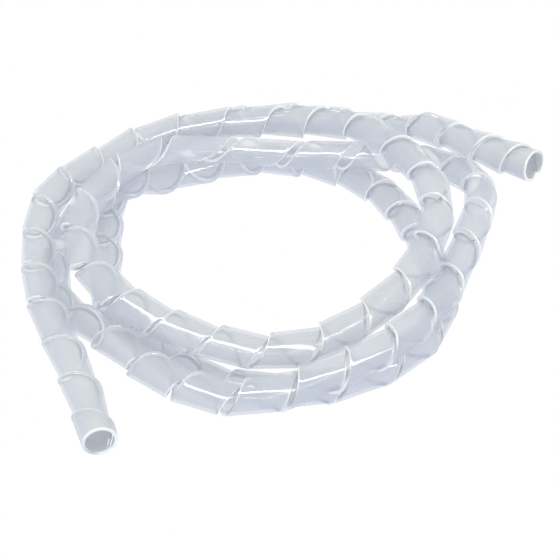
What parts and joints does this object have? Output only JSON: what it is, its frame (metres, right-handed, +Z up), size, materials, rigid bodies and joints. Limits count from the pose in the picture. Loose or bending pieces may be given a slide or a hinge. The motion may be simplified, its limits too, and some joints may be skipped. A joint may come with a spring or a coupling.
{
  "type": "spiral cable wrap",
  "caption": "Loose coil of flexible, milky plastic spiral wrap: a flat strip wound left-handed into a tube, with a slit round its whole length for bundling cables.",
  "frame": {"origin": "on the floor, under the middle of the coil's bounding box", "axes": "+Z up, out of the floor; -Y towards the side where the end of the wrap that lies on the floor points; +X towards the side where the raised end points"},
  "size_m": [0.1882, 0.2098, 0.0445],
  "materials": {
    "natural_polyethylene": "milky translucent natural polyethylene, softly glossy"
  },
  "bodies": {
    "root": {"spiral_wrap": "natural_polyethylene"}
  },
  "joints": []
}
